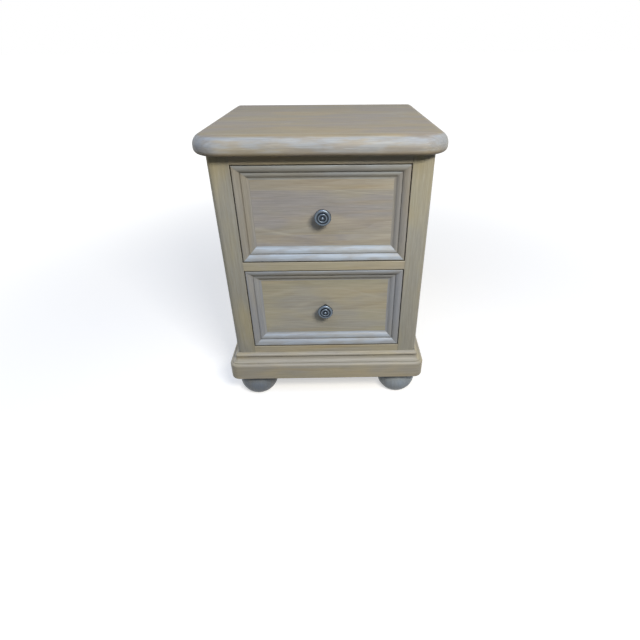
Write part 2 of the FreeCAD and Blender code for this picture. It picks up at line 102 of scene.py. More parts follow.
print("limed oak grey in linear light:", [round(v, 3) for v in linear("#938C7F")])

# %% [markdown]
# ## Where a point lies in its board
# Wood looks like wood because its pattern has a direction. A piece's object sits at the origin of the
# chest, so its Object coordinates are places on the chest in metres. We turn them so that x runs along
# the grain, y across the board and z into it, and count in millimetres, so that every size below is
# one that you could measure with a rule. Each piece also gets a shift of its own, as if it had been sawn
# from another part of the log. Wide panels are glued up from staves, and a stave gets its own shift too.

# %% Grain coordinates
MM_PER_M = 1000.0
LOG_SHIFT_MM = (4700.0, 1310.0, 570.0)


def grain_place(tree, grain, stave=None):
    """A point in millimetres along, across and into its board, how far it lies from the middle of its
    stave, and three random shares that differ from one board to the next."""
    chest = node(tree, "SeparateXYZ", {0: node(tree, "TexCoord").outputs["Object"]})
    turned = node(tree, "CombineXYZ", {i: chest.outputs[axis] for i, axis in enumerate(grain)})
    in_mm = node(tree, "VectorMath", {0: turned.outputs[0], "Scale": MM_PER_M}, operation="SCALE")
    piece = node(tree, "ObjectInfo").outputs["Random"]
    board = node(tree, "SeparateXYZ", {0: in_mm.outputs[0]})
    off_middle = board.outputs["Y"]
    if stave is None:
        shares = node(tree, "TexWhiteNoise", {"W": piece}, noise_dimensions="1D")
    else:
        width, first = stave
        across = node(tree, "Math", {0: board.outputs["Y"], 1: first}, operation="SUBTRACT").outputs[0]
        row = node(tree, "Math", {0: across, 1: width}, operation="DIVIDE")
        row = node(tree, "Math", {0: row.outputs[0]}, operation="FLOOR")
        strip = node(tree, "CombineXYZ", {0: row.outputs[0], 1: piece})
        shares = node(tree, "TexWhiteNoise", {"Vector": strip.outputs[0]}, noise_dimensions="3D")
        off_middle = node(tree, "Math", {0: across, 1: width}, operation="FLOORED_MODULO").outputs[0]
        off_middle = node(tree, "Math", {0: off_middle, 1: width / 2}, operation="SUBTRACT").outputs[0]
    shift = node(tree, "VectorMath", {0: shares.outputs["Color"], 1: LOG_SHIFT_MM}, operation="MULTIPLY")
    place = node(tree, "VectorMath", {0: in_mm.outputs[0], 1: shift.outputs[0]}, operation="ADD")
    return place.outputs[0], off_middle, shares.outputs["Color"]


def fibres(tree, place, length, width, detail=2.0):
    """Noise drawn out along the grain, one cell about length by width in millimetres."""
    cell = (1 / length, 1 / width, 1 / width)
    stretched = node(tree, "VectorMath", {0: place, 1: cell}, operation="MULTIPLY")
    noise = node(tree, "TexNoise", {"Vector": stretched.outputs[0], "Scale": 1.0, "Detail": detail})
    return noise.outputs["Fac"]


print("staves and pieces are shifted by up to", LOG_SHIFT_MM, "mm along, across and into the log")

# %% [markdown]
# ## Year rings
# A board shows its tree's rings. In a narrow piece they run straight. A wide stave is sawn near the heart,
# so its rings are cut at a slant and make long arches, which is what a ring looks like if its distance is
# taken from a heart line that sinks slowly under the face. A slow noise makes the rings wander.

# %% Rings of a board
RING_MM = 9.0
RING_WANDER_MM = 22.0
WANDER_CELL_MM = (340.0, 50.0)
RING_SLANT = 0.4
HEART_DEPTH_MM = 26.0
HEART_SLOPE = 0.055


def year_ring(tree, place, off_middle, arched):
    """How far through its year the wood at a point grew, from 0 in spring to 1 in autumn."""
    board = node(tree, "SeparateXYZ", {0: place}).outputs
    if arched:
        sunk = node(tree, "Math", {0: board["X"], 1: HEART_SLOPE, 2: HEART_DEPTH_MM},
                    operation="MULTIPLY_ADD")
        reach = node(tree, "CombineXYZ", {0: off_middle, 1: sunk.outputs[0]})
        distance = node(tree, "VectorMath", {0: reach.outputs[0]}, operation="LENGTH").outputs["Value"]
    else:
        slanted = node(tree, "Math", {0: board["Z"], 1: RING_SLANT, 2: board["Y"]}, operation="MULTIPLY_ADD")
        distance = slanted.outputs[0]
    wander = fibres(tree, place, *WANDER_CELL_MM)
    distance = node(tree, "Math", {0: wander, 1: RING_WANDER_MM, 2: distance}, operation="MULTIPLY_ADD")
    year = node(tree, "Math", {0: distance.outputs[0], 1: RING_MM}, operation="DIVIDE")
    return node(tree, "Math", {0: year.outputs[0]}, operation="FRACT").outputs[0]


print("rings", RING_MM, "mm apart")

# %% [markdown]
# ## The grey wash
# The oak was stained with a thin grey wash and rubbed while it was wet. The eye gets soft grey-brown
# clouds and patches, faint year rings that come and go, and warm streaks where the wash was rubbed through
# to the wood. Each of these is a colour that lies over another where some pattern is strong, so one
# function serves them all. It takes a pattern's rise, the two values between which the colour comes in.

# %% Washed wood
CLOUD_MM, CLOUD_RISE = (260.0, 40.0), (0.35, 0.65)
PATCH_MM, PATCH_RISE, PATCH_SHARE = (170.0, 65.0), (0.42, 0.62), 0.75
FIGURE_MM, FIGURE_RISE = (200.0, 70.0), (0.40, 0.65)
LATEWOOD, LATEWOOD_RISE = "#7C7058", (0.30, 0.95)
FAINT_RINGS, NARROW_RINGS, WIDE_RINGS = 0.04, 0.14, 0.24
RUBBED_MM, RUBBED_RISE, RUBBED_OAK = (300.0, 22.0), (0.54, 0.74), "#A0906C"


def laid_over(tree, under, over, pattern, rise, most=1.0, easing="SMOOTHSTEP"):
    """A colour with a second one over it, from none at the start of a pattern's rise to most at its end."""
    share = node(tree, "MapRange", {VALUE: pattern, FROM_LOW: rise[0], FROM_HIGH: rise[1], TO_HIGH: most},
                 interpolation_type=easing)
    mixed = node(tree, "Mix", {FACTOR: share.outputs[0], UNDER: under, OVER: linear(over)}, **COLOURS)
    return mixed.outputs[MIXED]


def washed_wood(tree, place, wash, year, strongest_ring, rub):
    """Two tones of the wash in clouds, a third in patches, then year rings and rubbed streaks."""
    colour = laid_over(tree, linear(wash[0]), wash[1], fibres(tree, place, *CLOUD_MM), CLOUD_RISE)
    patch = fibres(tree, place, *PATCH_MM, detail=3.0)
    colour = laid_over(tree, colour, wash[2], patch, PATCH_RISE, PATCH_SHARE)
    figure = node(tree, "MapRange", {
        VALUE: fibres(tree, place, *FIGURE_MM), FROM_LOW: FIGURE_RISE[0], FROM_HIGH: FIGURE_RISE[1],
        TO_LOW: FAINT_RINGS, TO_HIGH: strongest_ring}, **SMOOTH)
    colour = laid_over(tree, colour, LATEWOOD, year, LATEWOOD_RISE, figure.outputs[0])
    rubbed = fibres(tree, place, *RUBBED_MM, detail=3.0)
    return laid_over(tree, colour, RUBBED_OAK, rubbed, RUBBED_RISE, rub)


print("clouds", CLOUD_MM, "mm, patches", PATCH_MM, "mm and rubbed streaks", RUBBED_MM, "mm long and wide")

# %% [markdown]
# ## Lime and painted sheen on the mouldings
# Over the wash came lime, a pale paste. Faces that lean up are painted a pale, cool colour that is partly
# lime and partly painted sheen, the reflection of a bright sky. The slope of the face, the z of its normal,
# lays it on, and a level face gets none. It lies in streaks along the grain and evenly on end grain.
# Painting it by hand would give the same, but the slope finds every moulding by itself.

# %% Lime and painted sheen
# Lime and painted sheen: a pale, cool colour on faces that lean up stands partly for the reflection of a
# bright sky.
FULL_LEAN = 0.45
LEVEL_FACE_RISE = (0.80, 0.99)
STREAK_MM, STREAK_RISE = (55.0, 11.0), (0.38, 0.62)
END_GRAIN_RISE = (0.2, 0.7)
THIN_STREAK, THIN_ON_ENDS = 0.45, 0.85


def lime_and_painted_sheen(tree, place, grain, colour, lime, most, lowest):
    """The colour with lime and painted sheen on the faces that lean up, from a lowest lean to a full one."""
    facing = node(tree, "SeparateXYZ", {0: node(tree, "TexCoord").outputs["Normal"]}).outputs
    leaning = node(tree, "MapRange", {
        VALUE: facing["Z"], FROM_LOW: lowest, FROM_HIGH: FULL_LEAN, TO_HIGH: most}, **SMOOTH)
    not_level = node(tree, "MapRange", {
        VALUE: facing["Z"], FROM_LOW: LEVEL_FACE_RISE[0], FROM_HIGH: LEVEL_FACE_RISE[1],
        TO_LOW: 1.0, TO_HIGH: 0.0}, **SMOOTH)
    end_grain = node(tree, "Math", {0: facing[grain[0]]}, operation="ABSOLUTE")
    thinnest = node(tree, "MapRange", {
        VALUE: end_grain.outputs[0], FROM_LOW: END_GRAIN_RISE[0], FROM_HIGH: END_GRAIN_RISE[1],
        TO_LOW: THIN_STREAK, TO_HIGH: THIN_ON_ENDS})
    streaked = node(tree, "MapRange", {
        VALUE: fibres(tree, place, *STREAK_MM, detail=3.0), FROM_LOW: STREAK_RISE[0], FROM_HIGH: STREAK_RISE[1],
        TO_LOW: thinnest.outputs[0]}, **SMOOTH)
    # Painted sheen with lime: the pale colour is laid on by the lean of the face, in streaks.
    share = node(tree, "Math", {0: leaning.outputs[0], 1: not_level.outputs[0]}, operation="MULTIPLY")
    share = node(tree, "Math", {0: share.outputs[0], 1: streaked.outputs[0]}, operation="MULTIPLY")
    mixed = node(tree, "Mix", {FACTOR: share.outputs[0], UNDER: colour, OVER: linear(lime)}, **COLOURS)
    return mixed.outputs[MIXED]


# The streaks printed here are those of the lime and painted sheen.
print("lime dragged into streaks", STREAK_MM, "mm long and wide")

# %% [markdown]
# ## Rays and glue lines
# Two marks belong to wide boards. Oak has rays, pale ribbons that cross the grain at a slant, and a line
# where a slow noise passes through its middle value wanders just like one. Lime also stays in the glue
# lines between staves. They are 0.2 mm wide, too fine to show, so they are drawn coarser and faint.

# %% Marks of a wide board
RAY_MM, RAY_FADE, RAY_COLOUR = (420.0, 80.0), (0.02, 0.0), "#B3AD9C"
NOISE_MIDDLE = 0.5
JOINT_MM, JOINT_SHARE, JOINT_COLOUR = 1.6, 0.12, "#B9B5AA"


def wide_board_marks(tree, place, colour, off_middle, width, ray):
    """The colour of a board with rays across it and a glue line at both edges of every stave."""
    slow = fibres(tree, place, *RAY_MM, detail=1.0)
    crossing = node(tree, "Math", {0: slow, 1: NOISE_MIDDLE}, operation="SUBTRACT")
    crossing = node(tree, "Math", {0: crossing.outputs[0]}, operation="ABSOLUTE")
    colour = laid_over(tree, colour, RAY_COLOUR, crossing.outputs[0], RAY_FADE, ray)
    from_middle = node(tree, "Math", {0: off_middle}, operation="ABSOLUTE")
    edge_rise = (width / 2 - JOINT_MM, width / 2)
    return laid_over(tree, colour, JOINT_COLOUR, from_middle.outputs[0], edge_rise, JOINT_SHARE, "LINEAR")


print("glue lines drawn", 2 * JOINT_MM, "mm wide")

# %% [markdown]
# ## Limed oak
# The last layers are the same on every piece. Pale lime stays in the open pores, which are 0.3 mm wide and
# drawn coarser here so that they show. Fine fibres shade the face and give it a slight relief. Corners,
# quirks and gaps, which the Ambient Occlusion node finds from the shape, are darkened with painted shade and
# some glaze. A semi-matt lacquer seals it all, so the shader is a plain one with the index of lacquer and a
# soft, uneven gloss.

# %% The oak material
PORE_MM, PORE_RISE = (24.0, 0.9), (0.58, 0.72)
PORE_LIME, PORE_SHARE, PORE_DEPTH = "#C4C1B6", 0.16, -0.6
FIBRE_MM, FIBRE_RISE, FIBRE_SHADE = (60.0, 2.6), (0.3, 0.7), (0.90, 1.10)
# Painted shade with some glaze: a dark brown laid into corners, quirks and gaps that the Ambient Occlusion
# node finds.
CORNER_SHADE_AND_GLAZE, CORNER_SHADE_SHARE = "#463F33", 0.65
CORNER_SHADE_REACH_M, CORNER_SHADE_FADE, CORNER_SHADE_SAMPLES = 0.006, (0.80, 0.25), 8
RELIEF_STRENGTH, RELIEF_M = 0.35, 0.0001
GLOSS_RISE, LACQUER_ROUGHNESS, LACQUER_IOR = (0.25, 0.75), (0.40, 0.50), 1.5


def limed_oak(name, grain, wash, stave=None, rub=0.4, ray=0.0, lime_and_sheen=None, blend=0.06, polish=0.25):
    """Oak with its grain along the first of three axes. Blend is how far boards differ in tone."""
    material, tree, output = new_material(name)
    place, off_middle, shares = grain_place(tree, grain, stave)
    year = year_ring(tree, place, off_middle, stave is not None)
    colour = washed_wood(tree, place, wash, year, NARROW_RINGS if stave is None else WIDE_RINGS, rub)
    # Lime and painted sheen on faces that lean up, where a piece is given them.
    if lime_and_sheen is not None:
        colour = lime_and_painted_sheen(tree, place, grain, colour, *lime_and_sheen)
    if stave is not None:
        colour = wide_board_marks(tree, place, colour, off_middle, stave[0], ray)

    pore = fibres(tree, place, *PORE_MM, detail=1.0)
    pore = node(tree, "MapRange", {VALUE: pore, FROM_LOW: PORE_RISE[0], FROM_HIGH: PORE_RISE[1]}, **SMOOTH)
    colour = laid_over(tree, colour, PORE_LIME, pore.outputs[0], (0.0, 1.0), PORE_SHARE, "LINEAR")
    fine = fibres(tree, place, *FIBRE_MM, detail=4.0)
    shade = node(tree, "MapRange", {
        VALUE: fine, FROM_LOW: FIBRE_RISE[0], FROM_HIGH: FIBRE_RISE[1],
        TO_LOW: FIBRE_SHADE[0], TO_HIGH: FIBRE_SHADE[1]})
    own_share = node(tree, "SeparateXYZ", {0: shares}).outputs["Y"]
    tone = node(tree, "MapRange", {VALUE: own_share, TO_LOW: 1.0 - blend, TO_HIGH: 1.0 + blend})
    shade = node(tree, "Math", {0: shade.outputs[0], 1: tone.outputs[0]}, operation="MULTIPLY")
    shaded = node(tree, "VectorMath", {0: colour, "Scale": shade.outputs[0]}, operation="SCALE").outputs[0]
    # Painted shade: darker brown where the Ambient Occlusion node finds a corner, quirk or gap, with some
    # glaze.
    corner = node(tree, "AmbientOcclusion", {"Distance": CORNER_SHADE_REACH_M}, samples=CORNER_SHADE_SAMPLES).outputs["AO"]
    colour = laid_over(tree, shaded, CORNER_SHADE_AND_GLAZE, corner, CORNER_SHADE_FADE, CORNER_SHADE_SHARE, "LINEAR")

    relief = node(tree, "Math", {0: pore.outputs[0], 1: PORE_DEPTH, 2: fine}, operation="MULTIPLY_ADD")
    bump = node(tree, "Bump", {
        "Strength": RELIEF_STRENGTH, "Distance": RELIEF_M, "Height": relief.outputs[0]})
    gloss = node(tree, "MapRange", {
        VALUE: fine, FROM_LOW: GLOSS_RISE[0], FROM_HIGH: GLOSS_RISE[1],
        TO_LOW: LACQUER_ROUGHNESS[0], TO_HIGH: LACQUER_ROUGHNESS[1]})
    lacquer = node(tree, "BsdfPrincipled", {
        "Base Color": colour, "Roughness": gloss.outputs[0], "IOR": LACQUER_IOR,
        "Specular IOR Level": polish, "Normal": bump.outputs[0]})
    tree.links.new(lacquer.outputs[0], output.inputs[0])
    return material


# The reach printed here is that of the painted corner shade.
print("pores drawn", PORE_MM, "mm long and wide, glaze", CORNER_SHADE_REACH_M * MM_PER_M, "mm around a corner")

# %% [markdown]
# ## The tone of each piece
# One recipe makes all the oak, and each kind of piece has three tones of the wash. Mouldings hold more
# of the grey than flat boards, which were rubbed harder, and the top is the warmest. The feet are painted a
# dark blue-grey as painted shade under the plinth, and the two on the left darker still as painted shade.
# The level mouldings and the nosing of the top get lime and painted sheen, so these have its colour, the
# most that lies there and the lowest lean that holds it.

# %% Washes
TOP_WASH = ("#8A8069", "#938466", "#847C72")
RAIL_WASH = ("#A49D86", "#ABA188", "#9B988F")
POST_WASH = ("#989482", "#9F987F", "#919088")
PANEL_WASH = ("#9C9787", "#A19A8A", "#959289")
LEVEL_WASH = ("#918E84", "#97948A", "#8B8B8A")
DRAWER_WASH = {"upper": ("#979387", "#9E9789", "#8E8C8D"), "lower": ("#A39F8B", "#AAA28B", "#9C9A92")}
UPRIGHT_WASH = {"upper": ("#89857A", "#8F8B80", "#858482"), "lower": ("#8B8C8B", "#909190", "#888B8F")}
# Painted shade: the feet's dark blue-grey, and the left pair darker than the right.
FOOT_WASH_AND_SHADE = {"left": ("#6D757D", "#69727C", "#6F757B"), "right": ("#929CA5", "#8E9AA5", "#949CA2")}
# Lime and painted sheen on faces that lean up: its colour, the most that lies there and the lowest lean that
# holds it.
TOP_LIME_AND_SHEEN = ("#95A0A9", 0.6, -0.8)
LEVEL_LIME_AND_SHEEN = {"upper": ("#A3AEB7", 0.95, -0.8), "lower": ("#9DA6AE", 0.95, -0.8)}

print("tones of a wash:", len(TOP_WASH), "and colours of lime:", [lime[0] for lime in LEVEL_LIME_AND_SHEEN.values()])

# %% [markdown]
# ## Which way each oak piece runs
# A joiner runs the grain along the length of each piece: up the posts, along the rails, round the drawer
# mouldings. The three letters are the chest's axes along, across and into the board. The top, the drawer
# fronts and the side panels are wide, so they are glued up from staves.

# %% Oak on every oak piece
SIDES = ("left", "right")
ENDS = ("front", "rear")
DRAWERS = ("upper", "lower")
TOP_STAVE_MM = (96.0, 0.0)
PANEL_STAVE_MM = (96.0, 60.0)


def finish_pieces(material, names):
    """Puts a material on named pieces of the chest."""
    for name in names:
        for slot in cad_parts[name].material_slots:
            slot.material = material
    print(material.name, "on", len(names), "pieces")


top_oak = limed_oak("limed oak top", "XYZ", TOP_WASH, TOP_STAVE_MM, ray=0.1, lime_and_sheen=TOP_LIME_AND_SHEEN,
                    blend=0.1, polish=0.12)
side_oak = limed_oak("limed oak side panels", "ZYX", PANEL_WASH, PANEL_STAVE_MM, ray=0.2)
rail_oak = limed_oak("limed oak rails", "XZY", RAIL_WASH, rub=0.6)
side_rail_oak = limed_oak("limed oak side rails", "YZX", RAIL_WASH)
post_oak = limed_oak("limed oak posts", "ZXY", POST_WASH, rub=0.25, blend=0.02)

finish_pieces(top_oak, ["top_board"])
finish_pieces(side_oak, [side + "_side_panel" for side in SIDES])
finish_pieces(rail_oak, ["top_rail", "middle_rail", "bottom_rail", "front_plinth"])
finish_pieces(side_rail_oak, [side + piece for side in SIDES
                              for piece in ("_side_top_rail", "_side_bottom_rail", "_plinth")])
finish_pieces(post_oak, [f"{side}_{end}_post" for side in SIDES for end in ENDS])
for side in SIDES:
    # Painted shade: the left feet darker than the right ones, all in a dark blue-grey.
    foot_oak = limed_oak(f"turned limed oak {side}", "ZXY", FOOT_WASH_AND_SHADE[side], rub=0.15, polish=0.45)
    finish_pieces(foot_oak, [f"{end}_{side}_foot" for end in ENDS])

# %% [markdown]
# ## Oak on the drawers
# Each drawer has tones of its own, and the lower one is the lighter. The grain of its front lies across the
# chest. Its frame has two level mouldings and two upright ones, which need a material each, because the
# grain follows the moulding.

# %% Drawer fronts and mouldings
level_oak = {}
upright_oak = {}
for drawer in DRAWERS:
    front_oak = limed_oak(f"limed oak {drawer} drawer panel", "XZY", DRAWER_WASH[drawer],
                          PANEL_STAVE_MM, ray=0.35)
    level_oak[drawer] = limed_oak(f"limed oak {drawer} level mouldings", "XZY", LEVEL_WASH, rub=0.2,
                                  lime_and_sheen=LEVEL_LIME_AND_SHEEN[drawer], polish=0.3)
    upright_oak[drawer] = limed_oak(f"limed oak {drawer} upright mouldings", "ZXY",
                                    UPRIGHT_WASH[drawer], rub=0.2, polish=0.5)
    finish_pieces(front_oak, [drawer + "_drawer_front"])
    finish_pieces(level_oak[drawer], [f"{drawer}_{edge}_moulding" for edge in ("top", "bottom")])
    finish_pieces(upright_oak[drawer], [f"{drawer}_{side}_moulding" for side in SIDES])

# %% [markdown]
# ## A slip inside each drawer frame
# Where the drawer moulding meets the panel it ends in a slip, a narrow hollowed strip that runs out on the
# panel and gives the frame its third line. A curve with a bevel would do, but its corners would bulge. A
# joiner mitres such a strip, so we draw its section once, a parabola that is steep under the moulding and
# flat on the panel, set a copy on the mitre line of each corner and join neighbouring copies with faces.

# %% The section of a slip
SLIP_UNDER_MM = 2.3
SLIP_INSIDE_MM = 3.2
SLIP_PROUD_MM = 2.45
SLIP_EDGE_MM = 0.15
SLIP_SUNK_MM = 0.3
HOLLOW_STEPS = 8


def slip_section():
    """Points of the section in metres: how far out from the frame's edge, how far proud of the panel."""
    outline = [(-SLIP_INSIDE_MM, -SLIP_SUNK_MM), (SLIP_UNDER_MM, -SLIP_SUNK_MM)]
    for step in range(HOLLOW_STEPS + 1):
        share = step / HOLLOW_STEPS
        out = SLIP_UNDER_MM - (SLIP_UNDER_MM + SLIP_INSIDE_MM) * share
        proud = SLIP_EDGE_MM + (SLIP_PROUD_MM - SLIP_EDGE_MM) * (1 - share) ** 2
        outline.append((out, proud))
    return [(out / MM_PER_M, proud / MM_PER_M) for out, proud in outline]


print("section of a slip:", len(slip_section()), "points")

# %% Slips
CORNERS = 4


def frame_slip(drawer):
    """A slip round the inside of a drawer's frame, which rides on that drawer."""
    left, right = (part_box(f"{drawer}_{s}_moulding") for s in SIDES)
    bottom, top = (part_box(f"{drawer}_{edge}_moulding") for edge in ("bottom", "top"))
    panel_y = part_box(drawer + "_drawer_front")[0].y
    corners = [(left[1].x, -1, bottom[1].z, -1), (right[0].x, 1, bottom[1].z, -1),
               (right[0].x, 1, top[0].z, 1), (left[1].x, -1, top[0].z, 1)]
    section = slip_section()
    points = []
    for x, to_x, z, to_z in corners:
        points += [(x + to_x * out, panel_y - proud, z + to_z * out) for out, proud in section]
    count = len(section)
    faces = []
    for corner in range(CORNERS):
        here = corner * count
        there = (corner + 1) % CORNERS * count
        for step in range(count):
            after = (step + 1) % count
            faces.append((here + step, there + step, there + after, here + after))
    mesh = bpy.data.meshes.new(drawer + "_drawer_slip")
    mesh.from_pydata(points, [], faces)
    mesh.materials.append(level_oak[drawer])
    mesh.materials.append(upright_oak[drawer])
    for number, face in enumerate(mesh.polygons):
        face.material_index = number // count % 2
    slip = bpy.data.objects.new(drawer + "_drawer_slip", mesh)
    bpy.context.scene.collection.objects.link(slip)
    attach(slip, drawer + "_drawer")
    return slip


for drawer in DRAWERS:
    print(drawer, "slip measures", [round(side, 3) for side in frame_slip(drawer).dimensions], "m")

# %% [markdown]
# ## The wood inside
# Drawer boxes, runners and guides are planed pale hardwood, left bare and waxed, so they are warmer and
# duller than the case, and so is the base board. The drawer bottoms and the back are thin plywood: its
# faces are peeled veneer with a broad, lazy figure, and its edges show the layers. A face keeps one depth
# and an edge runs through all of them, so stripes drawn along the depth show on the edges alone.

# %% Planed hardwood and plywood
BROAD_RISE = (0.35, 0.68)
PLANED_FIBRE_MM, PLANED_RISE, PLANED_SHADE = (70.0, 1.2), (0.25, 0.75), (0.88, 1.08)
BOARD_TONES = (0.94, 1.06)
PLY_LAYER_MM, PLY_STRIPES = 1.5, 2.0
LAYER_RISE, LAYER_SHADE = (0.9, 1.1), (1.0, 0.8)
PLANED_RELIEF = 0.3
WAX_ROUGHNESS, WAX_IOR = (0.55, 0.68), 1.45


def bare_wood(name, grain, tones, figure, layers=False):
    """Planed wood of two tones with a figure of a length and width in millimetres, in layers or solid."""
    material, tree, output = new_material(name)
    place, _, shares = grain_place(tree, grain)
    broad = fibres(tree, place, *figure, detail=3.0)
    colour = laid_over(tree, linear(tones[0]), tones[1], broad, BROAD_RISE)
    fine = fibres(tree, place, *PLANED_FIBRE_MM, detail=3.0)
    shade = node(tree, "MapRange", {
        VALUE: fine, FROM_LOW: PLANED_RISE[0], FROM_HIGH: PLANED_RISE[1],
        TO_LOW: PLANED_SHADE[0], TO_HIGH: PLANED_SHADE[1]})
    own_share = node(tree, "SeparateXYZ", {0: shares}).outputs["Y"]
    tone = node(tree, "MapRange", {VALUE: own_share, TO_LOW: BOARD_TONES[0], TO_HIGH: BOARD_TONES[1]})
    shade = node(tree, "Math", {0: shade.outputs[0], 1: tone.outputs[0]}, operation="MULTIPLY")
    if layers:
        chest = node(tree, "SeparateXYZ", {0: node(tree, "TexCoord").outputs["Object"]})
        depth = node(tree, "Math", {0: chest.outputs[grain[2]], 1: MM_PER_M / PLY_LAYER_MM},
                     operation="MULTIPLY")
        layer = node(tree, "Math", {0: depth.outputs[0], 1: PLY_STRIPES}, operation="MODULO")
        layer = node(tree, "Math", {0: layer.outputs[0]}, operation="ABSOLUTE")
        layer = node(tree, "MapRange", {
            VALUE: layer.outputs[0], FROM_LOW: LAYER_RISE[0], FROM_HIGH: LAYER_RISE[1],
            TO_LOW: LAYER_SHADE[0], TO_HIGH: LAYER_SHADE[1]})
        shade = node(tree, "Math", {0: shade.outputs[0], 1: layer.outputs[0]}, operation="MULTIPLY")
    colour = node(tree, "VectorMath", {0: colour, "Scale": shade.outputs[0]}, operation="SCALE")
    bump = node(tree, "Bump", {"Strength": PLANED_RELIEF, "Distance": RELIEF_M, "Height": fine})
    gloss = node(tree, "MapRange", {
        VALUE: fine, FROM_LOW: PLANED_RISE[0], FROM_HIGH: PLANED_RISE[1],
        TO_LOW: WAX_ROUGHNESS[0], TO_HIGH: WAX_ROUGHNESS[1]})
    wood = node(tree, "BsdfPrincipled", {
        "Base Color": colour.outputs[0], "Roughness": gloss.outputs[0], "IOR": WAX_IOR,
        "Normal": bump.outputs[0]})
    tree.links.new(wood.outputs[0], output.inputs[0])
    return material


print("plywood layers", PLY_LAYER_MM, "mm thick")

# %% [markdown]
# ## Which piece is of which wood
# As with the oak, the grain runs along each piece: front to back in the drawer sides and the runners, from
# side to side in the pieces that lie across, and up the back. The drawer boxes are the palest, because they
# are of selected wood and see little light.

# %% Bare wood on the inner pieces
BOARD_FIGURE_MM = (180.0, 14.0)
VENEER_FIGURE_MM = (260.0, 45.0)
BOX_TONES = ("#CBB693", "#BCA37C")
RUNNER_TONES = ("#C4AE8A", "#B1986F")
BOTTOM_TONES = ("#C9B28D", "#BA9F77")
BACK_TONES = ("#B8A486", "#AA9372")

drawer_sides = [f"{drawer}_drawer_{side}_side" for drawer in DRAWERS for side in SIDES]
cross_pieces = [drawer + "_drawer_back" for drawer in DRAWERS] + ["back_top_rail", "back_bottom_rail"]
slides = [f"{side}_{piece}" for side in SIDES for piece in ("upper_runner", "lower_runner", "kicker")]
slides += ["lower_guides", "upper_guides", "drawer_stops"]
drawer_bottoms = [drawer + "_drawer_bottom" for drawer in DRAWERS]

finish_pieces(bare_wood("planed hardwood drawer sides", "YZX", BOX_TONES, BOARD_FIGURE_MM), drawer_sides)
finish_pieces(bare_wood("planed hardwood cross pieces", "XZY", BOX_TONES, BOARD_FIGURE_MM), cross_pieces)
finish_pieces(bare_wood("planed hardwood runners", "YXZ", RUNNER_TONES, BOARD_FIGURE_MM), slides)
finish_pieces(bare_wood("planed hardwood base", "XYZ", RUNNER_TONES, BOARD_FIGURE_MM), ["base_board"])
finish_pieces(bare_wood("plywood drawer bottoms", "XYZ", BOTTOM_TONES, VENEER_FIGURE_MM, layers=True),
              drawer_bottoms)
finish_pieces(bare_wood("plywood back", "ZXY", BACK_TONES, VENEER_FIGURE_MM, layers=True), ["back_panel"])

# %% [markdown]
# ## Antique pewter knobs
# The knobs are cast in zinc, plated, blackened and then rubbed back, so the rims and rings are bright
# and the hollows between them stay dark. The shape itself says where a hollow is, so the same Ambient
# Occlusion idea drives the patina. A fine casting grain breaks up the reflection.

# %% Pewter
CASTING_GRAIN_MM = 1.1
STAIN_MM, STAIN_RISE, LEAST_RUBBED = 6.0, (0.3, 0.7), 0.75
HOLLOW_REACH_M, HOLLOW_SAMPLES, WORN_RISE = 0.006, 16, (0.50, 0.97)
BLACKENED, RUBBED_BRIGHT = "#23292F", "#66707A"
BLACK_ROUGHNESS, BRIGHT_ROUGHNESS = 0.50, 0.36
CASTING_RELIEF = 0.25


def antique_pewter(name):
    """Cast metal, dark in its hollows and bright where a cloth could reach."""
    material, tree, output = new_material(name)
    place, _, _ = grain_place(tree, "XZY")
    casting = fibres(tree, place, CASTING_GRAIN_MM, CASTING_GRAIN_MM)
    stain = fibres(tree, place, STAIN_MM, STAIN_MM, detail=3.0)
    hollow = node(tree, "AmbientOcclusion", {"Distance": HOLLOW_REACH_M}, samples=HOLLOW_SAMPLES)
    worn = node(tree, "MapRange", {
        VALUE: hollow.outputs["AO"], FROM_LOW: WORN_RISE[0], FROM_HIGH: WORN_RISE[1]}, **SMOOTH)
    rubbed = node(tree, "MapRange", {
        VALUE: stain, FROM_LOW: STAIN_RISE[0], FROM_HIGH: STAIN_RISE[1], TO_LOW: LEAST_RUBBED, TO_HIGH: 1.0})
    bright = node(tree, "Math", {0: worn.outputs[0], 1: rubbed.outputs[0]}, operation="MULTIPLY").outputs[0]
    colour = node(tree, "Mix", {
        FACTOR: bright, UNDER: linear(BLACKENED), OVER: linear(RUBBED_BRIGHT)}, **COLOURS)
    gloss = node(tree, "MapRange", {VALUE: bright, TO_LOW: BLACK_ROUGHNESS, TO_HIGH: BRIGHT_ROUGHNESS})
    bump = node(tree, "Bump", {"Strength": CASTING_RELIEF, "Distance": RELIEF_M, "Height": casting})
    metal = node(tree, "BsdfPrincipled", {
        "Base Color": colour.outputs[MIXED], "Metallic": 1.0, "Roughness": gloss.outputs[0],
        "Normal": bump.outputs[0]})
    tree.links.new(metal.outputs[0], output.inputs[0])
    return material


finish_pieces(antique_pewter("antique pewter"), [drawer + "_knob" for drawer in DRAWERS])

# %% [markdown]
# ## Zinc-plated screws
# The screws are bright steel under zinc, which dries to faint cloudy patches. They show at the back and
# inside the drawers. Two greys and a small change of roughness are all that tells zinc from plain steel.

# %% Zinc-plated steel
ZINC_CLOUD_MM, ZINC_RISE, ZINC_ROUGHNESS = 2.5, (0.3, 0.7), (0.28, 0.42)
DULL_ZINC, BRIGHT_ZINC = "#A9ABA8", "#CFD0CB"


